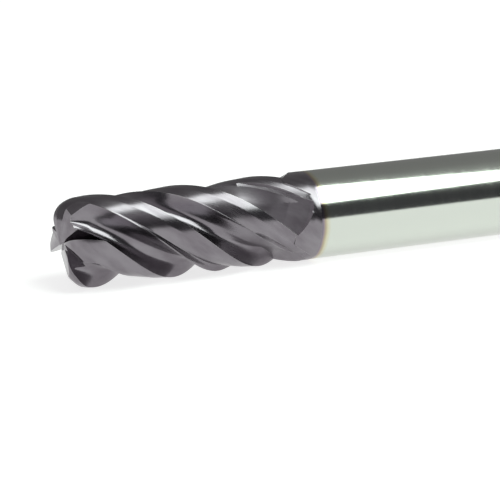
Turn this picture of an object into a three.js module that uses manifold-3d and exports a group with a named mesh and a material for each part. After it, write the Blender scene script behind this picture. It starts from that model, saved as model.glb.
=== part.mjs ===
// A four-flute corner-radius end mill, ground from one carbide rod, lying on its side.
// The tool is drawn in its own grinding frame: the axis is +Z, the cutting tip is at z = 0 and the shank is towards
// +Z. The last lines turn that frame so that the axis runs along +X, with the tip at the -X end. Millimetres.
import * as THREE from "three";
import { mergeVertices } from "three/addons/utils/BufferGeometryUtils.js";
import Module from "manifold-3d";

const wasm = await Module();
wasm.setup();
const radians = THREE.MathUtils.degToRad;

// Driving dimensions
const DIAMETER = 12; // cutting diameter and shank diameter
const OVERALL_LENGTH = 83;
const COATED_LENGTH = 35.2; // from the tip to the edge of the coating
const CORNER_RADIUS = 3;
const HELIX_ANGLE = radians(38.5);
const FIRST_EDGE = 41.4; // degrees; where the helix of the first cutting edge starts, at the tip
const SHANK_CHAMFER = 0.8;

// Teeth: the turn of each helical edge from the first, in degrees, the extra turn of its end edge, how far the end
// edge lies behind the centre line, how far from the axis its gash starts and how wide the gash opens.
const TEETH = [
  { turn: 0, endTurn: 12, behind: 0, web: 0.9, opening: 62 },
  { turn: 96, endTurn: 21.4, behind: 0, web: -0.1, opening: 46 },
  { turn: 181, endTurn: 21.4, behind: -1.7, web: 0.35, opening: 62 },
  { turn: 269, endTurn: 23, behind: 0, web: -0.1, opening: 32 },
];

// Land behind each cutting edge: a primary relief, then a steeper secondary relief
const PRIMARY_SPAN = 15; // degrees of turn
const PRIMARY_RELIEF = Math.tan(radians(6));
const SECONDARY_RELIEF = Math.tan(radians(13.5));
const PRIMARY_END = 31.3; // height where the primary relief stops in a small step
const SECONDARY_END = 34.3; // height where the secondary relief has run out to the full diameter
const SECONDARY_LIFT = 0.35; // how steeply the secondary relief lifts off there

// Flute, as a cross-section in front of a cutting edge that points along +X
const CORE_RADIUS = 3.45;
const RAKE = radians(-13);
const FLOOR_ANGLE = radians(-24); // where the flute touches the core
const HEEL_ANGLE = radians(-47);
const HEEL_RADIUS = 5.15;
const FLUTE_REACH = 2.4; // how far the cutter stands outside the tool
const TIP_NARROWING = 0.34; // share by which the heel side of the flute narrows at the tip
const TIP_RISE = 0.3; // how much shallower the flute is at the tip
const TIP_LENGTH = 8; // length over which it narrows and rises

// The grinding wheel where it leaves a flute: its rim, its width to either side of its middle, and its place. It
// stands off the axis at a height, at a turn from the first edge, swivelled along the flute and leaning over it.
const WHEEL = { rim: 17.2, near: 3, far: 2.75, chamfer: 0.7 };
const WHEEL_PLACE = { offset: 20.5, height: 24.86, turn: 203.1, swivel: 25.7, lean: 11.3 };
const RUN_OUT_RISE = 0.2; // how much the floor rises to meet the wheel
const RISE_LENGTH = 6;
const RUN_OUT_START = 25.5;
const RUN_OUT_END = 37;
const RUN_OUT_WIDTH = 7; // how far the floor runs on there, so that only the wheel bounds the heel side
const WHEEL_TRAVEL = [0, 1, 2, 3]; // places of the wheel before its last one, back along the helix

// Gash in front of each end tooth, and the flat reliefs behind it
const GASH_RAKE = radians(12);
const GASH_SLOPE = radians(39);
const END_RELIEF = { angle: radians(15), tilt: 0, at: [0, 0.15, 0] };
const HEEL_RELIEF = { angle: radians(50), tilt: radians(40), at: [4.28, 3.39, 1.88] };

// Fineness
const TOOTH_COLUMNS = 14;
const COLUMN_STEP = 5; // degrees between columns on a land
const LAND_COLUMNS = 9; // columns on a land, of all the columns of a tooth
const RING_STEP = 1.3;
const CORNER_STEPS = 8;
const PROFILE_STEPS = 6;
const WHEEL_STEPS = 96;
const BIG = 30; // size of a cutting block

const radius = DIAMETER / 2;
const twist = Math.tan(HELIX_ANGLE) / radius; // radians of helix for each millimetre of length
const up = new THREE.Vector3(0, 0, 1);

/** Turns a closed three.js geometry into a manifold-3d solid. */
function solidOf(geometry) {
  const bare = geometry.index ? geometry.toNonIndexed() : geometry.clone();
  bare.deleteAttribute("normal");
  bare.deleteAttribute("uv");
  const merged = mergeVertices(bare, 1e-4);
  return new wasm.Manifold(
    new wasm.Mesh({
      numProp: 3,
      vertProperties: merged.attributes.position.array,
      triVerts: new Uint32Array(merged.index.array),
    }),
  );
}

/** Turns a manifold-3d solid back into a three.js geometry. */
function geometryOf(solid) {
  const { vertProperties, triVerts } = solid.getMesh();
  const geometry = new THREE.BufferGeometry();
  geometry.setAttribute("position", new THREE.BufferAttribute(vertProperties, 3));
  geometry.setIndex(new THREE.BufferAttribute(triVerts, 1));
  geometry.computeVertexNormals();
  return geometry;
}

/** Revolves [radius, height] points about +Z, with the seam at angle zero. */
function revolved(points, segments) {
  const outline = points.map(([r, z]) => new THREE.Vector2(r, z));
  return new THREE.LatheGeometry(outline, segments).rotateX(Math.PI / 2);
}

/** Moves each vertex of a geometry with move(vertex). */
function reshaped(geometry, move) {
  const position = geometry.attributes.position;
  const vertex = new THREE.Vector3();
  for (let i = 0; i < position.count; i += 1) {
    vertex.fromBufferAttribute(position, i);
    move(vertex);
    position.setXYZ(i, vertex.x, vertex.y, vertex.z);
  }
  return geometry;
}

/** The turn of a tooth's cutting edge at a height: the flute's helix, or the gash's steeper face near the tip. */
function edgeTurn({ turn, endTurn, behind }, z) {
  const helix = twist * z;
  const gash = radians(endTurn) + (behind + z * Math.tan(GASH_RAKE)) / radius;
  return radians(FIRST_EDGE + turn) + Math.max(helix, gash);
}

/** Where a column of the blank stands at a height: its turn, and how many degrees it is behind its own edge. */
function columnPlace(column, z) {
  const index = Math.floor(column / TOOTH_COLUMNS);
  const step = column % TOOTH_COLUMNS;
  const edge = edgeTurn(TEETH[index], z);
  if (step < LAND_COLUMNS) return { turned: edge + radians(step * COLUMN_STEP), behind: step * COLUMN_STEP };
  const next = TEETH[index + 1] ?? { ...TEETH[0], turn: 360 };
  const heel = edge + radians(LAND_COLUMNS * COLUMN_STEP);
  const share = (step - LAND_COLUMNS) / (TOOTH_COLUMNS - LAND_COLUMNS);
  return { turned: THREE.MathUtils.lerp(heel, edgeTurn(next, z), share), behind: 0 };
}

/** How far the land lies under the full outline, at a radius, an angle behind the edge and a height. */
function landDrop(r, behind, z) {
  const primary = r * radians(Math.min(behind, PRIMARY_SPAN)) * PRIMARY_RELIEF;
  const secondary = r * radians(Math.max(behind - PRIMARY_SPAN, 0)) * SECONDARY_RELIEF;
  if (behind <= PRIMARY_SPAN) return z < PRIMARY_END ? primary : 0;
  return Math.min(primary + secondary, Math.max(SECONDARY_END - z, 0) * SECONDARY_LIFT);
}

/** The blank's outline: a flat end, the corner radius, then rings up to the edge of the coating. */
function blankOutline() {
  const flat = radius - CORNER_RADIUS;
  const outline = [[0, 0], [flat / 2, 0]];
  for (let i = 0; i <= CORNER_STEPS; i += 1) {
    const a = ((i / CORNER_STEPS) * Math.PI) / 2;
    outline.push([flat + CORNER_RADIUS * Math.sin(a), CORNER_RADIUS * (1 - Math.cos(a))]);
  }
  for (let z = CORNER_RADIUS + RING_STEP; z < PRIMARY_END - 0.1; z += RING_STEP) outline.push([radius, z]);
  for (const z of [PRIMARY_END - 0.01, PRIMARY_END + 0.01]) outline.push([radius, z]);
  for (let z = PRIMARY_END + 0.6; z < SECONDARY_END - 0.1; z += 0.6) outline.push([radius, z]);
  outline.push([radius, SECONDARY_END], [radius, COATED_LENGTH], [0, COATED_LENGTH]);
  return outline;
}

/** The blank with its helical lands relieved, before the flutes are cut. */
function relievedBlank() {
  const columns = TEETH.length * TOOTH_COLUMNS;
  return reshaped(revolved(blankOutline(), columns), (v) => {
    const r = Math.hypot(v.x, v.y);
    if (r < 1e-6) return;
    const column = (Math.round((Math.atan2(v.y, v.x) / (2 * Math.PI)) * columns) + columns) % columns;
    const { turned, behind } = columnPlace(column, v.z);
    const slope = v.z < CORNER_RADIUS ? 1 - v.z / CORNER_RADIUS : 0; // how far the outline faces the tip
    const out = Math.sqrt(1 - slope * slope);
    const drop = landDrop(r, behind, v.z);
    const moved = r - out * drop;
    v.set(moved * Math.cos(turned), moved * Math.sin(turned), v.z + slope * drop);
  });
}

/** The flute's cross-section, as a closed shape that reaches outside the tool, with or without its heel side. */
function fluteShape(heeled) {
  const polar = (r, a) => new THREE.Vector2(r * Math.cos(a), r * Math.sin(a));
  const from = (point, way, length) => point.clone().addScaledVector(way, length);
  const edge = polar(radius, 0);
  const floor = polar(CORE_RADIUS, FLOOR_ANGLE);
  const heel = polar(HEEL_RADIUS, HEEL_ANGLE);
  const rakeWay = new THREE.Vector2(-Math.cos(RAKE), Math.sin(RAKE));
  const floorWay = polar(1, FLOOR_ANGLE - Math.PI / 2);
  const heelWay = polar(1, radians(-72));
  const rakeCurve = new THREE.CubicBezierCurve(edge, from(edge, rakeWay, 1.7), from(floor, floorWay, -1.4), floor);
  const heelCurve = new THREE.CubicBezierCurve(floor, from(floor, floorWay, 0.9), from(heel, heelWay, -1), heel);
  const heelSide = [...heelCurve.getPoints(PROFILE_STEPS).slice(1), from(heel, heelWay, FLUTE_REACH)];
  const points = [
    from(edge, rakeWay, -FLUTE_REACH),
    ...rakeCurve.getPoints(PROFILE_STEPS),
    ...(heeled ? heelSide : [from(floor, floorWay, RUN_OUT_WIDTH)]),
    polar(radius + FLUTE_REACH + 1.2, FLOOR_ANGLE),
  ];
  return new THREE.Shape(points.reverse());
}

/** How wide the heel side of the flute is at a height: narrower at the tip. */
function heelWidth(z) {
  return 1 - TIP_NARROWING * THREE.MathUtils.clamp(1 - z / TIP_LENGTH, 0, 1);
}

/** How far the flute's floor has risen at a height, at the tip and where the wheel leaves. */
function floorRise(z) {
  const tip = THREE.MathUtils.clamp(1 - z / TIP_LENGTH, 0, 1);
  const runOut = THREE.MathUtils.smoothstep(z, RUN_OUT_START - RISE_LENGTH, RUN_OUT_START);
  return TIP_RISE * tip + RUN_OUT_RISE * runOut;
}

/** The flute's cross-section swept along a tooth's helix between two heights. */
function fluteSweep({ turn }, from, to, heeled) {
  const depth = to - from;
  const steps = Math.round(depth / RING_STEP);
  const floorY = CORE_RADIUS * Math.sin(FLOOR_ANGLE);
  return solidOf(reshaped(new THREE.ExtrudeGeometry(fluteShape(heeled), { steps, depth, bevelEnabled: false }), (v) => {
    v.z += from;
    v.x += floorRise(v.z) * THREE.MathUtils.smoothstep(-v.y, 0.4, 1.2);
    if (v.y < floorY) v.y = floorY + (v.y - floorY) * heelWidth(v.z);
    v.applyAxisAngle(up, radians(FIRST_EDGE + turn) + twist * v.z);
  }));
}

/** The grinding wheel where it leaves one flute, moved back along the helix. */
function leavingWheel(tooth, back) {
  const { rim, near, far, chamfer } = WHEEL;
  const { offset, height, turn, swivel, lean } = WHEEL_PLACE;
  const outline = [[0, -far], [rim - chamfer, -far], [rim, chamfer - far], [rim, near], [0, near]];
  return solidOf(revolved(outline, WHEEL_STEPS).rotateX(-Math.PI / 2))
    .rotate([-swivel, 0, lean])
    .translate([offset, 0, height - back])
    .rotate([0, 0, FIRST_EDGE + tooth.turn + turn - THREE.MathUtils.radToDeg(twist * back)]);
}

/** The solid that grinding one helical flute removes, up to where the wheel leaves it. */
function fluteCutter(tooth) {
  const wheel = WHEEL_TRAVEL.map((back) => leavingWheel(tooth, back)).reduce((all, one) => all.add(one));
  const runOut = fluteSweep(tooth, RUN_OUT_START - 1, RUN_OUT_END, false).intersect(wheel);
  return fluteSweep(tooth, -1, RUN_OUT_START, true).add(runOut);
}

/** A big block that starts at a point and lies on the side its normal points to. */
function blockBeyond(point, normal) {
  const block = new THREE.BoxGeometry(BIG * 2, BIG * 2, BIG).translate(0, 0, BIG / 2);
  const turn = new THREE.Quaternion().setFromUnitVectors(up, normal.clone().normalize());
  return solidOf(block.applyQuaternion(turn).translate(...point));
}

/** Turns a solid drawn for an end edge along +X to a tooth's end edge. */
function atEndEdge(solid, { turn, endTurn }) {
  return solid.rotate([0, 0, FIRST_EDGE + turn + endTurn]);
}

/** The side of an end tooth's cutting face that lies in front of the tooth. */
function frontOfFace({ web, behind }) {
  return blockBeyond([web, behind, 0], new THREE.Vector3(0, -Math.cos(GASH_RAKE), Math.sin(GASH_RAKE)));
}

/** The V-shaped gash in front of one end tooth. */
function gashCutter(tooth) {
  const face = new THREE.Vector3(0, -Math.cos(GASH_RAKE), Math.sin(GASH_RAKE));
  const rise = Math.sin(GASH_SLOPE);
  const root = new THREE.Vector3(Math.cos(GASH_SLOPE), rise * Math.tan(GASH_RAKE), rise).normalize();
  const wall = face.applyAxisAngle(root, Math.PI - radians(tooth.opening));
  return atEndEdge(frontOfFace(tooth).intersect(blockBeyond([tooth.web, tooth.behind, 0], wall)), tooth);
}

/** A flat relief behind one end tooth, as far as the next tooth's face. */
function reliefCutter({ angle, tilt, at: [x, y, z] }, tooth, next) {
  const out = Math.cos(angle);
  const normal = new THREE.Vector3(out * Math.sin(tilt), Math.sin(angle), -out * Math.cos(tilt));
  const relief = atEndEdge(blockBeyond([x, y + tooth.behind, z], normal), tooth);
  return relief.intersect(atEndEdge(frontOfFace(next), next));
}

/** The coated cutting end: the relieved blank with every flute, gash and end relief ground into it. */
function cuttingHead() {
  let head = solidOf(relievedBlank());
  TEETH.forEach((tooth, index) => {
    const next = TEETH[(index + 1) % TEETH.length];
    head = head
      .subtract(fluteCutter(tooth))
      .subtract(gashCutter(tooth))
      .subtract(reliefCutter(END_RELIEF, tooth, next))
      .subtract(reliefCutter(HEEL_RELIEF, tooth, next));
  });
  return geometryOf(head);
}

/** The bare cylindrical shank with its chamfered rear end. */
function shank() {
  const outline = [
    [0, COATED_LENGTH],
    [radius, COATED_LENGTH],
    [radius, OVERALL_LENGTH - SHANK_CHAMFER],
    [radius - SHANK_CHAMFER, OVERALL_LENGTH],
    [0, OVERALL_LENGTH],
  ];
  return revolved(outline, TEETH.length * TOOTH_COLUMNS);
}

/** A named mesh with its own material. */
function part(name, geometry, color, roughness) {
  const mesh = new THREE.Mesh(geometry, new THREE.MeshStandardMaterial({ color, roughness, metalness: 1 }));
  mesh.name = name;
  return mesh;
}

const tool = new THREE.Group();
tool.name = "end_mill";
tool.add(part("cutting_head", cuttingHead(), 0x5a545c, 0.3));
tool.add(part("shank", shank(), 0xb9bcb8, 0.15));
tool.rotation.set(Math.PI / 2, Math.PI / 2, 0);
tool.position.set(-OVERALL_LENGTH / 2, 0, radius);

export default tool;
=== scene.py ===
"""A solid carbide end mill with four right-hand flutes, lying on its side on a pale studio floor.

The tool is ground the way the real one is: a relieved blank, four flutes whose wheel leaves them in a
short run-out, then a gash and flat reliefs at each end tooth. It is drawn in a grinding frame, in
millimetres, with its axis along +Z and its tip at z = 0. Each finished piece is then laid in the model's
frame, in metres, with its axis along +X.
"""

from __future__ import annotations

import logging
import math
from dataclasses import dataclass, field
from enum import Enum
from typing import Callable, Sequence

import bpy
import numpy as np
from mathutils import Matrix, Quaternion, Vector

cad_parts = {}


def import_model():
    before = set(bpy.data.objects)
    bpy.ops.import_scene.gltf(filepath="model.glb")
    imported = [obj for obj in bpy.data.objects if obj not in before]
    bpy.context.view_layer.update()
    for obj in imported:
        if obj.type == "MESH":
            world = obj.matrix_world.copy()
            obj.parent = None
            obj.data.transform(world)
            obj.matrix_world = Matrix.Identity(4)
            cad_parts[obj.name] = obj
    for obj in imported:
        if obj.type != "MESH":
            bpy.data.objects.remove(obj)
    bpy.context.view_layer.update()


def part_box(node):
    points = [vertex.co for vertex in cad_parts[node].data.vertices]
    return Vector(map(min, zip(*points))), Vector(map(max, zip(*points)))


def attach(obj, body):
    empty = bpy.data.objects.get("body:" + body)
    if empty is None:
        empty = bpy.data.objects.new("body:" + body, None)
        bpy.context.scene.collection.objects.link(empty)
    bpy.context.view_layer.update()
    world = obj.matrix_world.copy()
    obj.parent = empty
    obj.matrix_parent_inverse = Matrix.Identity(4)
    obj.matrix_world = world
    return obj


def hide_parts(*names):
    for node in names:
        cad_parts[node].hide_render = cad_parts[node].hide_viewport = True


LOG = logging.getLogger("end_mill")
MM = 0.001
BLOCK = 60.0

Colour = tuple[float, float, float]
Plane = tuple[Vector, Vector]


class Operation(Enum):
    """How a cutter meets the piece it is applied to."""

    CUT = "DIFFERENCE"
    KEEP = "INTERSECT"
    JOIN = "UNION"


class Bench:
    """Modelling by hand, one object at a time, with everything else deselected."""

    @staticmethod
    def pick(piece: bpy.types.Object) -> None:
        """Makes one object the only selected one."""
        bpy.ops.object.select_all(action="DESELECT")
        piece.select_set(True)
        bpy.context.view_layer.objects.active = piece

    @staticmethod
    def outline(name: str, points: Sequence[Sequence[float]], closed: bool) -> bpy.types.Object:
        """Extrudes a single corner from point to point.

        Args:
            name: The new object's name.
            points: The outline's corners.
            closed: Whether the last corner is joined to the first.

        Returns:
            An object that holds the chain of edges.
        """
        bpy.ops.object.select_all(action="DESELECT")
        bpy.ops.mesh.primitive_plane_add(size=0.1)
        chain = bpy.context.object
        chain.name = name
        bpy.ops.object.mode_set(mode="EDIT")
        bpy.ops.mesh.merge(type="CENTER")
        corners = [Vector(point) for point in points]
        bpy.ops.transform.translate(value=corners[0])
        for here, there in zip(corners, corners[1:]):
            bpy.ops.mesh.extrude_region_move(TRANSFORM_OT_translate={"value": there - here})
        if closed:
            bpy.ops.mesh.select_all(action="SELECT")
            bpy.ops.mesh.edge_face_add()
            bpy.ops.mesh.delete(type="ONLY_FACE")
        bpy.ops.object.mode_set(mode="OBJECT")
        return chain

    @staticmethod
    def screwed(piece: bpy.types.Object, angle: float, rise: float, steps: int) -> None:
        """Sweeps an outline about +Z into a closed solid.

        Args:
            piece: The outline, which becomes the solid.
            angle: The whole turn, in radians.
            rise: How far it climbs in that turn.
            steps: The number of steps.
        """
        Bench.pick(piece)
        screw = piece.modifiers.new("sweep", "SCREW")
        screw.angle, screw.screw_offset = angle, rise
        screw.steps = screw.render_steps = steps
        screw.use_merge_vertices = rise == 0
        bpy.ops.object.modifier_apply(modifier=screw.name)
        bpy.ops.object.mode_set(mode="EDIT")
        bpy.ops.mesh.select_all(action="SELECT")
        bpy.ops.mesh.remove_doubles(threshold=1e-5)
        bpy.ops.mesh.fill_holes(sides=0)
        bpy.ops.mesh.select_all(action="SELECT")
        bpy.ops.mesh.normals_make_consistent(inside=False)
        bpy.ops.object.mode_set(mode="OBJECT")

    @staticmethod
    def wedge(name: str, planes: Sequence[Plane]) -> bpy.types.Object:
        """Bisects a block larger than the tool, keeping the side each plane's normal points to.

        Args:
            name: The new object's name.
            planes: A point and a normal for each cut.

        Returns:
            The solid that is left.
        """
        bpy.ops.object.select_all(action="DESELECT")
        bpy.ops.mesh.primitive_cube_add(size=BLOCK)
        block = bpy.context.object
        block.name = name
        bpy.ops.object.mode_set(mode="EDIT")
        for point, normal in planes:
            bpy.ops.mesh.select_all(action="SELECT")
            bpy.ops.mesh.bisect(plane_co=point, plane_no=normal, use_fill=True, clear_inner=True)
        bpy.ops.object.mode_set(mode="OBJECT")
        return block

    @staticmethod
    def reshape(piece: bpy.types.Object, move: Callable[[np.ndarray], np.ndarray]) -> None:
        """Moves a mesh's corners by a formula that takes and returns an array of them."""
        corners = np.empty(len(piece.data.vertices) * 3, dtype=np.float32)
        piece.data.vertices.foreach_get("co", corners)
        moved = move(corners.reshape(-1, 3).astype(float))
        piece.data.vertices.foreach_set("co", moved.astype(np.float32).ravel())
        piece.data.update()

    @staticmethod
    def combine(piece: bpy.types.Object, cutter: bpy.types.Object, how: Operation) -> None:
        """Cuts, keeps or joins a piece with a cutter, which is then thrown away.

        Args:
            piece: The piece that changes.
            cutter: The solid it is changed by.
            how: What the cutter does to the piece.
        """
        Bench.pick(piece)
        boolean = piece.modifiers.new("combine", "BOOLEAN")
        boolean.operation, boolean.object, boolean.solver = how.value, cutter, "MANIFOLD"
        bpy.ops.object.modifier_apply(modifier=boolean.name)
        bpy.data.objects.remove(cutter)

    @staticmethod
    def copied(piece: bpy.types.Object, placing: Matrix) -> bpy.types.Object:
        """A copy of a piece with its own mesh, moved by a matrix."""
        double = piece.copy()
        double.data = piece.data.copy()
        double.data.transform(placing)
        bpy.context.collection.objects.link(double)
        return double

    @staticmethod
    def smoothed(piece: bpy.types.Object, degrees: float) -> None:
        """Shades a piece smooth, except across edges sharper than an angle."""
        Bench.pick(piece)
        bpy.ops.object.shade_smooth_by_angle(angle=math.radians(degrees))


def smooth(values: np.ndarray, low: float, high: float) -> np.ndarray:
    """A smooth ramp from 0 at low to 1 at high."""
    share = np.clip((values - low) / (high - low), 0, 1)
    return share * share * (3 - 2 * share)


def polar(radius: float, angle: float) -> Vector:
    """A point in the cross-section at a radius and an angle in radians."""
    return Vector((radius * math.cos(angle), radius * math.sin(angle), 0))


def bezier(start: Vector, pull: Vector, push: Vector, end: Vector, steps: int) -> list[Vector]:
    """Draws a cubic curve.

    Args:
        start: Its first point.
        pull: The handle it leaves the first point towards.
        push: The handle it reaches the last point from.
        end: Its last point.
        steps: The number of straight steps.

    Returns:
        The curve's points, both ends included.
    """
    shares = [step / steps for step in range(steps + 1)]
    return [
        start * (1 - t) ** 3 + pull * (3 * t * (1 - t) ** 2) + push * (3 * t * t * (1 - t)) + end * t**3
        for t in shares
    ]


@dataclass(frozen=True)
class Tooth:
    """One tooth, in degrees and millimetres.

    Attributes:
        turn: Where its helical edge starts, from the first tooth's.
        end_turn: How far its end edge is turned from there.
        behind: How far its end edge passes behind the axis.
        web: Where its gash starts along the end edge.
        opening: The angle between its gash's two faces.
    """

    turn: float
    end_turn: float
    behind: float
    web: float
    opening: float


@dataclass(frozen=True)
class ToolSize:
    """The whole tool's driving dimensions, in millimetres."""

    diameter: float
    length: float
    coated: float
    corner: float = 3.0
    helix: float = math.radians(38.5)
    chamfer: float = 0.8

    @property
    def radius(self) -> float:
        """Half the cutting diameter, which is also half the shank's."""
        return self.diameter / 2

    @property
    def twist(self) -> float:
        """Radians of helix for each millimetre of length."""
        return math.tan(self.helix) / self.radius

    @classmethod
    def from_frame(cls) -> ToolSize:
        """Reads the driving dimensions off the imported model."""
        low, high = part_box("shank")
        head_low, head_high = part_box("cutting_head")
        return cls(
            diameter=(high[2] - low[2]) / MM,
            length=(high[0] - head_low[0]) / MM,
            coated=(head_high[0] - head_low[0]) / MM,
        )

    def laid_down(self) -> Matrix:
        """The matrix that takes the grinding frame, in millimetres, to the model's frame, in metres."""
        turned = Matrix(((0, 0, 1, -self.length / 2), (1, 0, 0, 0), (0, 1, 0, self.radius), (0, 0, 0, 1)))
        return Matrix.Diagonal((MM, MM, MM, 1)) @ turned


@dataclass
class Wheel:
    """The grinding wheel where it leaves a flute, in millimetres and degrees.

    Attributes:
        rim: Its radius.
        near: Its width from its middle to its plain side.
        far: Its width from its middle to its chamfered side.
        chamfer: The bevel on its rim there.
        offset: How far its centre stands from the tool's axis.
        height: How far its centre stands from the tip.
        turn: Its place round the tool, from the first edge.
        swivel: How far its plane is turned off the tool's axis.
        lean: How far it is then turned about a line along that axis.
        travel: How far back along the helix its last places lie.
        steps: The number of sides it is drawn with.
    """

    rim: float = 17.2
    near: float = 4.3
    far: float = 2.75
    chamfer: float = 0.7
    offset: float = 20.5
    height: float = 24.86
    turn: float = 203.1
    swivel: float = 25.7
    lean: float = 11.3
    travel: tuple[float, ...] = (0.5, 1.0, 1.5, 2.0, 2.5, 3.0)
    steps: int = 360

    def solid(self, size: ToolSize, first_edge: float) -> bpy.types.Object:
        """Joins the wheel in its last places along the helix.

        Args:
            size: The tool's dimensions.
            first_edge: The turn of the first tooth's edge at the tip, in degrees.

        Returns:
            The solid that bounds the first tooth's run-out.
        """
        section = [
            (0, 0, -self.far),
            (self.rim - self.chamfer, 0, -self.far),
            (self.rim, 0, self.chamfer - self.far),
            (self.rim, 0, self.near),
            (0, 0, self.near),
        ]
        disc = Bench.outline("wheel", section, closed=False)
        Bench.screwed(disc, 2 * math.pi, 0, self.steps)
        swivelled = Matrix.Rotation(math.radians(-90 - self.swivel), 4, "X")
        leaning = Matrix.Rotation(math.radians(self.lean), 4, "Z") @ swivelled
        standing = Matrix.Translation((self.offset, 0, self.height)) @ leaning
        disc.data.transform(Matrix.Rotation(math.radians(first_edge + self.turn), 4, "Z") @ standing)
        last = Bench.copied(disc, Matrix.Identity(4))
        for back in self.travel:
            moved = Matrix.Rotation(-size.twist * back, 4, "Z") @ Matrix.Translation((0, 0, -back))
            Bench.combine(disc, Bench.copied(last, moved), Operation.JOIN)
        bpy.data.objects.remove(last)
        return disc


@dataclass(frozen=True)
class Relief:
    """A flat ground behind an end edge: its fall, its tilt towards the corner and a point on it."""

    fall: float
    tilt: float
    at: tuple[float, float, float]


@dataclass
class CuttingHead:
    """The coated end: a relieved blank with four flutes, four gashes and the flat end reliefs.

    Lengths are in millimetres. A cross-section is drawn with the cutting edge along +X and the flute on
    its -Y side.
    """

    size: ToolSize
    wheel: Wheel = field(default_factory=Wheel)
    teeth: tuple[Tooth, ...] = (
        Tooth(turn=0, end_turn=12, behind=0, web=0.9, opening=62),
        Tooth(turn=96, end_turn=21.4, behind=0, web=-0.1, opening=36),
        Tooth(turn=181, end_turn=21.4, behind=-1.7, web=0.35, opening=62),
        Tooth(turn=269, end_turn=23, behind=0, web=-0.1, opening=32),
    )
    reliefs: tuple[Relief, ...] = (
        Relief(fall=15, tilt=0, at=(0, 0.15, 0)),
        Relief(fall=50, tilt=40, at=(4.28, 3.39, 1.88)),
    )
    first_edge: float = 41.4
    primary_span: float = 15.0
    primary_relief: float = math.tan(math.radians(6))
    secondary_relief: float = math.tan(math.radians(13.5))
    primary_end: float = 31.3
    secondary_end: float = 34.3
    secondary_lift: float = 0.35
    step_width: float = 0.01
    relief_turn: float = 21.4
    core: float = 3.45
    rake: float = math.radians(-13)
    floor_angle: float = math.radians(-24)
    heel_angle: float = math.radians(-47)
    heel_radius: float = 5.15
    heel_slope: float = math.radians(-72)
    rake_pull: float = 1.7
    foot_push: float = 1.4
    foot_pull: float = 0.9
    floor_fade: tuple[float, float] = (0.4, 1.2)
    reach: float = 2.4
    clearance: float = 3.6
    tip_narrowing: float = 0.85
    tip_rise: float = 0.55
    tip_length: float = 3.2
    run_out_blend: float = 7.0
    run_out_floor: float = 3.44
    run_out_level: float = 1.9
    run_out_fall: float = 0.17
    run_out_widening: float = 0.4
    run_out_start: float = 25.5
    run_out_end: float = 37.0
    run_out_width: float = 7.0
    gash_rake: float = math.radians(12)
    gash_slope: float = math.radians(39)
    land_span: float = 45.0
    land_taper: tuple[float, float] = (37.0, 44.0)
    tooth_columns: int = 72
    land_columns: int = 36
    ring_step: float = 0.3
    corner_steps: int = 24
    profile_steps: int = 22
    sharp: float = 24.0

    def edge_turn(self, index: int, z: np.ndarray) -> np.ndarray:
        """The turn of a tooth's cutting edge at each height, from the helix or the gash's steeper face."""
        whole, place = divmod(index, len(self.teeth))
        tooth = self.teeth[place]
        gash = math.radians(tooth.end_turn) + (tooth.behind + z * math.tan(self.gash_rake)) / self.size.radius
        turned = math.radians(self.first_edge + tooth.turn + 360 * whole)
        return turned + np.maximum(self.size.twist * z, gash)

    def outline(self) -> list[Vector]:
        """The blank's half section: a flat end, the corner radius, then a ring at each step."""
        radius, corner = self.size.radius, self.size.corner
        flat = radius - corner
        points = [Vector((flat * share, 0, 0)) for share in (0, 0.25, 0.5, 0.75)]
        for step in range(self.corner_steps + 1):
            angle = step / self.corner_steps * math.pi / 2
            points.append(Vector((flat + corner * math.sin(angle), 0, corner * (1 - math.cos(angle)))))
        spare = 5 * self.step_width
        heights = list(np.arange(corner + self.ring_step, self.primary_end - spare, self.ring_step))
        heights += [self.primary_end - self.step_width, self.primary_end + self.step_width]
        start = self.primary_end + self.ring_step
        heights += list(np.arange(start, self.secondary_end - spare, self.ring_step))
        heights += [self.secondary_end, self.size.coated]
        return points + [Vector((radius, 0, z)) for z in heights] + [Vector((0, 0, self.size.coated))]

    def relieved(self, corners: np.ndarray) -> np.ndarray:
        """Moves the blank's columns onto the helices and sinks the land behind each edge."""
        columns = len(self.teeth) * self.tooth_columns
        r, z = np.hypot(corners[:, 0], corners[:, 1]), corners[:, 2]
        drawn = np.arctan2(corners[:, 1], corners[:, 0]) / (2 * math.pi)
        column = np.rint(drawn * columns).astype(int) % columns
        turned, behind = np.zeros(len(z)), np.zeros(len(z))
        for index in range(len(self.teeth)):
            step = column - index * self.tooth_columns
            own = (step >= 0) & (step < self.tooth_columns)
            edge = self.edge_turn(index, z)
            land = own & (step < self.land_columns)
            degrees = step * self.land_span / self.land_columns
            turned[land] = (edge + np.radians(degrees))[land]
            behind[land] = degrees[land]
            flute = own & ~land
            share = (step - self.land_columns) / (self.tooth_columns - self.land_columns)
            heel = edge + math.radians(self.land_span)
            turned[flute] = (heel + (self.edge_turn(index + 1, z) - heel) * share)[flute]
        slope = np.where(z < self.size.corner, 1 - z / self.size.corner, 0)
        out = np.sqrt(np.clip(1 - slope * slope, 0, 1))
        drop = self.land_drop(r, behind, z)
        off_axis = r > 1e-4
        moved = np.where(off_axis, r - out * drop, 0)
        return np.stack((moved * np.cos(turned), moved * np.sin(turned), z + slope * drop * off_axis), axis=1)

    def land_drop(self, r: np.ndarray, behind: np.ndarray, z: np.ndarray) -> np.ndarray:
        """How far the land lies under the full outline, behind its edge by an angle in degrees."""
        primary = r * np.radians(np.minimum(behind, self.primary_span)) * self.primary_relief
        secondary = r * np.radians(np.maximum(behind - self.primary_span, 0)) * self.secondary_relief
        lifted = np.minimum(primary + secondary, np.maximum(self.secondary_end - z, 0) * self.secondary_lift)
        lifted *= 1 - smooth(behind, *self.land_taper)
        return np.where(behind <= self.primary_span, np.where(z < self.primary_end, primary, 0), lifted)

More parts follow.
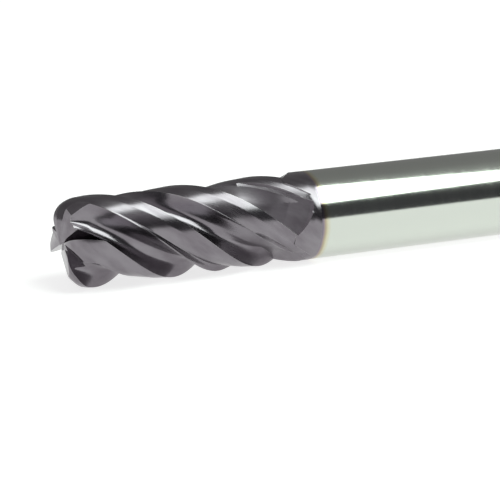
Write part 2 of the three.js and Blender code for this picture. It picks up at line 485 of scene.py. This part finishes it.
    def blank(self) -> bpy.types.Object:
        """The coated end before its flutes are ground."""
        blank = Bench.outline("cutting_head_visual", self.outline(), closed=False)
        Bench.screwed(blank, 2 * math.pi, 0, len(self.teeth) * self.tooth_columns)
        Bench.reshape(blank, self.relieved)
        return blank

    def flute_section(self, heeled: bool) -> list[Vector]:
        """The flute's cross-section in front of an edge that points along +X.

        Args:
            heeled: Whether it has its heel side, or runs on flat for the wheel to bound.

        Returns:
            The corners of a closed outline that reaches outside the tool.
        """
        edge, foot = polar(self.size.radius, 0), polar(self.core, self.floor_angle)
        heel = polar(self.heel_radius, self.heel_angle)
        inward = Vector((-math.cos(self.rake), math.sin(self.rake), 0))
        along = polar(1, self.floor_angle - math.pi / 2)
        away = polar(1, self.heel_slope)
        rake = bezier(
            edge, edge + inward * self.rake_pull, foot - along * self.foot_push, foot, self.profile_steps
        )
        wall = bezier(foot, foot + along * self.foot_pull, heel - away, heel, self.profile_steps)[1:]
        shares = np.arange(1, self.profile_steps + 1) / self.profile_steps
        level = [foot + along * (self.run_out_width * share) for share in shares]
        heel_side = wall + [heel + away * self.reach] if heeled else level
        outside = polar(self.size.radius + self.clearance, self.floor_angle)
        return [edge - inward * self.reach, *rake, *heel_side, outside]

    def swept(self, corners: np.ndarray) -> np.ndarray:
        """Narrows a straight sweep at the tip, flattens it towards the run-out, then twists it."""
        x, y, z = corners.T
        tip = np.clip(1 - z / self.tip_length, 0, 1)
        foot = self.core * math.sin(self.floor_angle)
        x = x + self.tip_rise * tip * smooth(-y, *self.floor_fade)
        y = np.where(y < foot, foot + (y - foot) * (1 - self.tip_narrowing * tip), y)
        x, y = self.flattened(x, y, smooth(z, self.run_out_start - self.run_out_blend, self.run_out_start))
        turned = math.radians(self.first_edge) + self.size.twist * z
        cosine, sine = np.cos(turned), np.sin(turned)
        return np.stack((x * cosine - y * sine, x * sine + y * cosine, z), axis=1)

    def flattened(self, x: np.ndarray, y: np.ndarray, share: np.ndarray) -> tuple[np.ndarray, np.ndarray]:
        """Turns the round floor of the flute's section into the flat one that the wheel leaves.

        Args:
            x: Where the section's corners lie along the edge's direction.
            y: Where they lie across it.
            share: How far each of them has turned flat, from 0 to 1.

        Returns:
            The corners' new places, along and across.
        """
        foot, heel = self.core * math.sin(self.floor_angle), polar(self.heel_radius, self.heel_angle)
        along = np.clip((foot - y) / (foot - heel.y), 0, 1)
        wide = y - self.run_out_widening * share * along

        def flat(at: np.ndarray) -> np.ndarray:
            """Where the flat floor lies."""
            return self.run_out_floor - self.run_out_fall * np.maximum(-at - self.run_out_level, 0)

        beyond = y < heel.y - 1e-4
        target = np.where(beyond, x + flat(heel.y - self.run_out_widening) - heel.x, flat(wide))
        outside = (x > self.size.radius) & (y > foot)
        weight = np.where(outside, 0, share * smooth(-y, *self.floor_fade))
        return x + (target - x) * weight, wide

    def sweep(self, low: float, high: float, heeled: bool) -> bpy.types.Object:
        """The first tooth's flute as a solid between two heights."""
        section = [point + Vector((0, 0, low)) for point in self.flute_section(heeled)]
        solid = Bench.outline("flute", section, closed=True)
        Bench.screwed(solid, 0, high - low, round((high - low) / self.ring_step))
        Bench.reshape(solid, self.swept)
        return solid

    def grind_flutes(self, head: bpy.types.Object) -> None:
        """Cuts the four flutes and their run-outs."""
        main = self.sweep(-1, self.run_out_start, heeled=True)
        leaving = self.sweep(self.run_out_start, self.run_out_end, heeled=False)
        Bench.combine(leaving, self.wheel.solid(self.size, self.first_edge), Operation.KEEP)
        for cutter in (main, leaving):
            for tooth in self.teeth:
                turned = Matrix.Rotation(math.radians(tooth.turn), 4, "Z")
                Bench.combine(head, Bench.copied(cutter, turned), Operation.CUT)
            bpy.data.objects.remove(cutter)

    def at_end_edge(self, tooth: Tooth, end_turn: float, point: Vector, normal: Vector) -> Plane:
        """Turns a plane drawn for an end edge along +X to a tooth's end."""
        turned = Matrix.Rotation(math.radians(self.first_edge + tooth.turn + end_turn), 3, "Z")
        return turned @ point, turned @ normal

    def face(self, tooth: Tooth) -> Plane:
        """The plane of an end tooth's cutting face, with its normal pointing ahead of the tooth."""
        normal = Vector((0, -math.cos(self.gash_rake), math.sin(self.gash_rake)))
        return self.at_end_edge(tooth, tooth.end_turn, Vector((tooth.web, tooth.behind, 0)), normal)

    def gash(self, tooth: Tooth) -> bpy.types.Object:
        """The V-shaped gash in front of one end tooth."""
        rise = math.sin(self.gash_slope)
        root = Vector((math.cos(self.gash_slope), rise * math.tan(self.gash_rake), rise)).normalized()
        ahead = Vector((0, -math.cos(self.gash_rake), math.sin(self.gash_rake)))
        wall = Quaternion(root, math.pi - math.radians(tooth.opening)) @ ahead
        back = self.at_end_edge(tooth, tooth.end_turn, Vector((tooth.web, tooth.behind, 0)), wall)
        return Bench.wedge("gash", (self.face(tooth), back))

    def relief(self, tooth: Tooth, after: Tooth, shape: Relief) -> bpy.types.Object:
        """A flat relief behind one end tooth, as far as the next tooth's face.

        Args:
            tooth: The tooth it lies behind.
            after: The next tooth.
            shape: How the flat lies.

        Returns:
            The solid that the relief takes off.
        """
        fall, tilt = math.radians(shape.fall), math.radians(shape.tilt)
        out = math.cos(fall)
        normal = Vector((out * math.sin(tilt), math.sin(fall), -out * math.cos(tilt)))
        point = Vector(shape.at) + Vector((0, tooth.behind, 0))
        flat = self.at_end_edge(tooth, self.relief_turn, point, normal)
        return Bench.wedge("relief", (flat, self.face(after)))

    def grind_end(self, head: bpy.types.Object) -> None:
        """Cuts the gash and the two flat reliefs of each end tooth."""
        for tooth, after in zip(self.teeth, self.teeth[1:] + self.teeth[:1]):
            Bench.combine(head, self.gash(tooth), Operation.CUT)
            for shape in self.reliefs:
                Bench.combine(head, self.relief(tooth, after, shape), Operation.CUT)

    def build(self) -> bpy.types.Object:
        """Grinds the whole coated end and lays it in the model's frame."""
        head = self.blank()
        self.grind_flutes(head)
        self.grind_end(head)
        head.data.transform(self.size.laid_down())
        Bench.smoothed(head, self.sharp)
        return head


@dataclass
class Shank:
    """The bare plain shank, with a chamfered rear end whose edges are just broken."""

    size: ToolSize
    steps: int = 256
    broken: float = 0.06
    sharp: float = 20.0

    def build(self) -> bpy.types.Object:
        """Turns the shank and lays it in the model's frame."""
        radius, rear, chamfer, broken = self.size.radius, self.size.length, self.size.chamfer, self.broken
        section = [
            (0, 0, self.size.coated),
            (radius, 0, self.size.coated),
            (radius, 0, rear - chamfer - broken),
            (radius - broken * 0.3, 0, rear - chamfer + broken * 0.6),
            (radius - chamfer + broken * 0.6, 0, rear - broken * 0.3),
            (radius - chamfer - broken, 0, rear),
            (0, 0, rear),
        ]
        shank = Bench.outline("shank_visual", section, closed=False)
        Bench.screwed(shank, 2 * math.pi, 0, self.steps)
        shank.data.transform(self.size.laid_down())
        Bench.smoothed(shank, self.sharp)
        return shank


class Wire:
    """A shader value that can be used in Python arithmetic, each operator adding a Math node."""

    def __init__(self, paint: Paint, socket: bpy.types.NodeSocket) -> None:
        """Wraps an output socket of one material."""
        self.paint, self.socket = paint, socket

    def _math(self, operation: str, first: object, second: object) -> Wire:
        """Adds one Math node."""
        return self.paint.node("ShaderNodeMath", {"operation": operation}, {0: first, 1: second})

    def __add__(self, other: object) -> Wire:
        """Sum."""
        return self._math("ADD", self, other)

    __radd__ = __add__

    def __sub__(self, other: object) -> Wire:
        """Difference."""
        return self._math("SUBTRACT", self, other)

    def __mul__(self, other: object) -> Wire:
        """Product."""
        return self._math("MULTIPLY", self, other)

    __rmul__ = __mul__

    def __truediv__(self, other: object) -> Wire:
        """Quotient."""
        return self._math("DIVIDE", self, other)


class Paint:
    """One material, written as expressions over its Object coordinates."""

    def __init__(self, name: str) -> None:
        """Starts a material that holds only its shader and output."""
        self.material = bpy.data.materials.new(name)
        self.material.use_nodes = True
        self.tree = self.material.node_tree
        self.shader = self.tree.nodes["Principled BSDF"]

    def put(self, socket: bpy.types.NodeSocket, value: object) -> None:
        """Links a wire to a socket, or sets its constant."""
        if isinstance(value, Wire):
            self.tree.links.new(value.socket, socket)
        elif isinstance(value, tuple) and len(value) == 3 and socket.type == "RGBA":
            socket.default_value = (*value, 1)
        else:
            socket.default_value = value

    def node(self, kind: str, settings: dict, inputs: dict, output: int | str = 0) -> Wire:
        """Adds a node.

        Args:
            kind: The node's type.
            settings: Its properties, set first. A ramp's stops go under the key "stops".
            inputs: Values or wires by socket name or number.
            output: The output socket to return.

        Returns:
            The chosen output as a wire.
        """
        node = self.tree.nodes.new(kind)
        for name, value in settings.items():
            if name == "stops":
                self.stops(node.color_ramp, value)
            else:
                setattr(node, name, value)
        for name, value in inputs.items():
            self.put(node.inputs[name], value)
        return Wire(self, node.outputs[output])

    @staticmethod
    def stops(ramp: bpy.types.ColorRamp, stops: Sequence[tuple[float, Colour]]) -> None:
        """Fills a colour ramp with (position, colour) stops."""
        while len(ramp.elements) < len(stops):
            ramp.elements.new(1.0)
        for element, (position, colour) in zip(ramp.elements, stops):
            element.position, element.color = position, (*colour, 1)

    def place(self) -> tuple[Wire, Wire, Wire]:
        """The point on the piece, in metres, as its X, Y and Z."""
        where = self.node("ShaderNodeTexCoord", {}, {}, "Object")
        split = self.node("ShaderNodeSeparateXYZ", {}, {0: where})
        node = split.socket.node
        return tuple(Wire(self, node.outputs[axis]) for axis in range(3))

    def joined(self, x: object, y: object, z: object) -> Wire:
        """A vector from three values."""
        return self.node("ShaderNodeCombineXYZ", {}, {0: x, 1: y, 2: z})

    def noise(self, vector: Wire, detail: float = 2.0, roughness: float = 0.5) -> Wire:
        """Smooth noise between about 0.3 and 0.7 over a vector."""
        inputs = {"Vector": vector, "Scale": 1.0, "Detail": detail, "Roughness": roughness}
        return self.node("ShaderNodeTexNoise", {}, inputs, 0)

    def span(self, value: Wire, low: float, high: float, to_low: float = 0.0, to_high: float = 1.0) -> Wire:
        """Stretches the stretch from low to high over another, and clamps it."""
        inputs = {0: value, 1: low, 2: high, 3: to_low, 4: to_high}
        return self.node("ShaderNodeMapRange", {"clamp": True}, inputs)

    def mixed(self, factor: Wire, first: object, second: object) -> Wire:
        """A colour that goes from the first to the second with the factor."""
        settings = {"data_type": "RGBA"}
        return self.node("ShaderNodeMix", settings, {0: factor, 6: first, 7: second}, 2)

    def bump(self, height: Wire, distance: float) -> Wire:
        """A normal tilted by a height in the range 0 to 1 that stands for a distance in metres."""
        return self.node("ShaderNodeBump", {}, {"Strength": 1.0, "Distance": distance, "Height": height})

    def finish(self, **inputs: object) -> bpy.types.Material:
        """Puts values and wires on the shader's sockets, with underscores for spaces."""
        for name, value in inputs.items():
            self.put(self.shader.inputs[name.replace("_", " ")], value)
        return self.material


@dataclass(frozen=True)
class CarbideCoating:
    """Dark violet-grey hard coating over fine grinding marks that follow the flutes.

    Attributes:
        colour: The coating's colour.
        pale: Its colour where it is cloudy and along the marks.
        wear_and_highlight: Its colour along the edges: partly coating wear, partly a painted highlight of the
            edges catching the light.
        polish: Its lowest and highest roughness.
        coarse: The roughness added in the run-outs.
        coarse_lead: How far before the coating's end the run-outs start, in millimetres.
        coarse_blend: The length over which they turn coarse.
        ground_radii: The radii between which a surface counts as ground below the lands.
        edge_wear_and_highlight_width: The width of the edges painted with wear and a highlight, in
            millimetres.
        mark_depth: The depth of the marks, in millimetres.
    """

    colour: Colour = (0.158, 0.14, 0.158)
    pale: Colour = (0.22, 0.203, 0.222)
    wear_and_highlight: Colour = (0.5, 0.49, 0.49)
    polish: tuple[float, float] = (0.17, 0.25)
    coarse: float = 0.17
    coarse_lead: float = 14.0
    coarse_blend: float = 5.0
    ground_radii: tuple[float, float] = (5.9, 5.6)
    edge_wear_and_highlight_width: float = 0.06
    mark_depth: float = 0.0004

    def material(self, size: ToolSize) -> bpy.types.Material:
        """Builds the coating's material."""
        paint = Paint("coated_carbide")
        x, y, z = paint.place()
        y, z = y / MM, z / MM - size.radius
        turn = (x / MM) * size.twist
        sine = paint.node("ShaderNodeMath", {"operation": "SINE"}, {0: turn})
        cosine = paint.node("ShaderNodeMath", {"operation": "COSINE"}, {0: turn})
        across, down = y * cosine + z * sine, z * cosine - y * sine
        along = x / MM
        marks = paint.noise(paint.joined(along * 0.9, across * 14, down * 14), detail=3, roughness=0.6)
        fine = paint.noise(paint.joined(along * 3, across * 40, down * 40), detail=2)
        cloud = paint.noise(paint.joined(along * 0.25, across * 0.6, down * 0.6), detail=3)
        tint = paint.mixed(paint.span(cloud, 0.35, 0.65), self.colour, self.pale)
        shade = paint.mixed(paint.span(marks, 0.3, 0.7, 0.0, 0.3), tint, self.pale)
        # The edges are mixed towards a pale colour: partly coating wear, partly a painted highlight of the
        # edges catching the light.
        rounded = paint.node("ShaderNodeBevel", {"samples": 6}, {"Radius": self.edge_wear_and_highlight_width * MM})
        flat = paint.node("ShaderNodeNewGeometry", {}, {}, "Normal")
        dot = {"operation": "DOT_PRODUCT"}
        aligned = paint.node("ShaderNodeVectorMath", dot, {0: rounded, 1: flat}, "Value")
        edge = paint.span(aligned, 0.995, 0.9, 0.0, 0.7)
        out = paint.node("ShaderNodeMath", {"operation": "SQRT"}, {0: y * y + z * z})
        late = size.coated - size.length / 2 - self.coarse_lead
        in_run_out = paint.span(along, late, late + self.coarse_blend) * paint.span(out, *self.ground_radii)
        return paint.finish(
            Base_Color=paint.mixed(edge, shade, self.wear_and_highlight),
            Metallic=1.0,
            Roughness=paint.span(marks + fine * 0.5, 0.5, 1.0, *self.polish) + in_run_out * self.coarse,
            Normal=paint.bump(marks + fine * 0.4, self.mark_depth * MM),
        )


@dataclass(frozen=True)
class GroundCarbide:
    """Bright bare carbide with very fine rings from grinding, heat-tinted beside the coating.

    Attributes:
        colour: The bare metal's colour.
        polish: Its lowest and highest roughness.
        tint_width: The length of the heat tint, in millimetres.
        ring_depth: The depth of the rings, in millimetres.
    """

    colour: Colour = (0.55, 0.575, 0.53)
    polish: tuple[float, float] = (0.09, 0.17)
    tint_width: float = 1.3
    ring_depth: float = 0.0004

    def material(self, size: ToolSize) -> bpy.types.Material:
        """Builds the bare carbide's material."""
        paint = Paint("ground_carbide")
        x, y, z = paint.place()
        start = size.coated - size.length / 2
        wander = paint.noise(paint.joined(x * 120, y * 420, z * 420), detail=3)
        beside = x / MM - start + (wander - 0.5) * 0.5
        rings = paint.noise(paint.joined(x * 9000, y * 90, z * 90), detail=3, roughness=0.6)
        broad = paint.noise(paint.joined(x * 900, y * 20, z * 20), detail=2)
        stops = [
            (0.0, (0.16, 0.14, 0.17)),
            (0.16, (0.26, 0.22, 0.25)),
            (0.34, (0.36, 0.30, 0.22)),
            (0.6, (0.52, 0.50, 0.37)),
            (1.0, self.colour),
        ]
        tint = paint.node("ShaderNodeValToRGB", {"stops": stops}, {0: paint.span(beside, 0, self.tint_width)})
        return paint.finish(
            Base_Color=tint,
            Metallic=1.0,
            Roughness=paint.span(rings + broad * 0.5, 0.5, 1.0, *self.polish),
            Normal=paint.bump(rings, self.ring_depth * MM),
        )


@dataclass(frozen=True)
class Panel:
    """A flat lamp above the camera's side of the tool that faces it.

    Attributes:
        name: The lamp's name.
        height: Its angle above the floor, in degrees.
        turn: Its angle from the tool's side towards the shank's end, in degrees.
        away: Its distance from the tool's middle, in metres.
        size: Its width and its height, in metres.
        radiance: How bright its face is.
        colour: The colour of its light.
    """

    name: str
    height: float
    turn: float
    away: float
    size: tuple[float, float]
    radiance: float
    colour: Colour

    def build(self) -> None:
        """Hangs the lamp."""
        light = bpy.data.lights.new(self.name, "AREA")
        light.shape, light.color = "RECTANGLE", self.colour
        light.size, light.size_y = self.size
        light.energy = self.radiance * math.pi * light.size * light.size_y
        lamp = bpy.data.objects.new(self.name, light)
        bpy.context.collection.objects.link(lamp)
        height, turn = math.radians(self.height), math.radians(self.turn)
        flat = self.away * math.cos(height)
        lamp.location = (flat * math.sin(turn), -flat * math.cos(turn), self.away * math.sin(height))
        lamp.rotation_euler = (math.pi / 2 - height, 0, turn)


@dataclass(frozen=True)
class Studio:
    """The pale floor, the lamps, the dim surroundings and the camera, in metres and degrees.

    The room's stops run from the camera's side, past overhead at a half, to the far side of the tool.
    """

    aim: tuple[float, float, float] = (-0.0124, 0.0032, 0.0012)
    distance: float = 0.36
    azimuth: float = 26.91
    elevation: float = 14.4
    lens: float = 191.9
    panels: tuple[Panel, ...] = (
        Panel("softbox", 57, 41, away=0.62, size=(0.44, 0.5), radiance=4.9, colour=(0.9, 1, 0.93)),
        Panel("fill", 34, -22, away=0.6, size=(0.4, 0.36), radiance=0.45, colour=(1, 0.96, 1)),
    )
    floor_size: float = 6.0
    floor: Colour = (0.5, 0.5, 0.5)
    floor_glow: float = 1.5
    room: tuple[tuple[float, Colour], ...] = (
        (0.0, (0.08, 0.08, 0.085)),
        (0.14, (0.055, 0.055, 0.06)),
        (0.43, (0.4, 0.41, 0.4)),
        (0.64, (0.27, 0.27, 0.27)),
        (1.0, (0.22, 0.22, 0.22)),
    )

    def build(self) -> None:
        """Sets up everything that isn't the tool."""
        self.add_floor()
        for panel in self.panels:
            panel.build()
        self.add_surroundings()
        self.add_camera()
        bpy.context.scene.view_settings.view_transform = "Standard"

    def add_floor(self) -> None:
        """A plain pale floor under the tool."""
        bpy.ops.object.select_all(action="DESELECT")
        bpy.ops.mesh.primitive_plane_add(size=self.floor_size)
        floor = bpy.context.object
        floor.name = "studio_floor"
        paint = Paint("studio_floor")
        glow = {"Emission_Color": self.floor, "Emission_Strength": self.floor_glow}
        floor.data.materials.append(paint.finish(Base_Color=self.floor, Roughness=0.9, **glow))

    def add_surroundings(self) -> None:
        """A room that is dim on the camera's side, palest overhead and grey behind the tool."""
        world = bpy.data.worlds.new("surroundings")
        bpy.context.scene.world = world
        world.use_nodes = True
        tree = world.node_tree
        where = tree.nodes.new("ShaderNodeTexCoord")
        split = tree.nodes.new("ShaderNodeSeparateXYZ")
        share = tree.nodes.new("ShaderNodeMapRange")
        share.inputs["From Min"].default_value = -1
        ramp = tree.nodes.new("ShaderNodeValToRGB")
        Paint.stops(ramp.color_ramp, self.room)
        tree.links.new(where.outputs["Generated"], split.inputs[0])
        tree.links.new(split.outputs["Y"], share.inputs["Value"])
        tree.links.new(share.outputs[0], ramp.inputs[0])
        tree.links.new(ramp.outputs[0], tree.nodes["Background"].inputs[0])

    def add_camera(self) -> None:
        """A long lens, low and to the tip's side of the tool."""
        turn, rise = math.radians(self.azimuth), math.radians(self.elevation)
        ahead = Vector((math.sin(turn) * math.cos(rise), math.cos(turn) * math.cos(rise), -math.sin(rise)))
        camera = bpy.data.objects.new("camera", bpy.data.cameras.new("camera"))
        bpy.context.collection.objects.link(camera)
        camera.location = Vector(self.aim) - ahead * self.distance
        camera.rotation_euler = ahead.to_track_quat("-Z", "Y").to_euler()
        camera.data.lens = self.lens
        camera.data.clip_start = 0.01
        bpy.context.scene.camera = camera


def dress(piece: bpy.types.Object, material: bpy.types.Material, node: str) -> None:
    """Gives a finished piece its material, hangs it on the root body and hides the CAD part it replaces."""
    piece.data.materials.clear()
    piece.data.materials.append(material)
    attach(piece, "root")
    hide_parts(node)
    LOG.info("%s: %d faces", piece.name, len(piece.data.polygons))


def main() -> None:
    """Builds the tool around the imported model, then the studio."""
    logging.basicConfig(level=logging.INFO, format="%(name)s %(message)s")
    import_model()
    size = ToolSize.from_frame()
    dress(CuttingHead(size).build(), CarbideCoating().material(size), "cutting_head")
    dress(Shank(size).build(), GroundCarbide().material(size), "shank")
    Studio().build()
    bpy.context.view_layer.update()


if __name__ == "__main__":
    main()
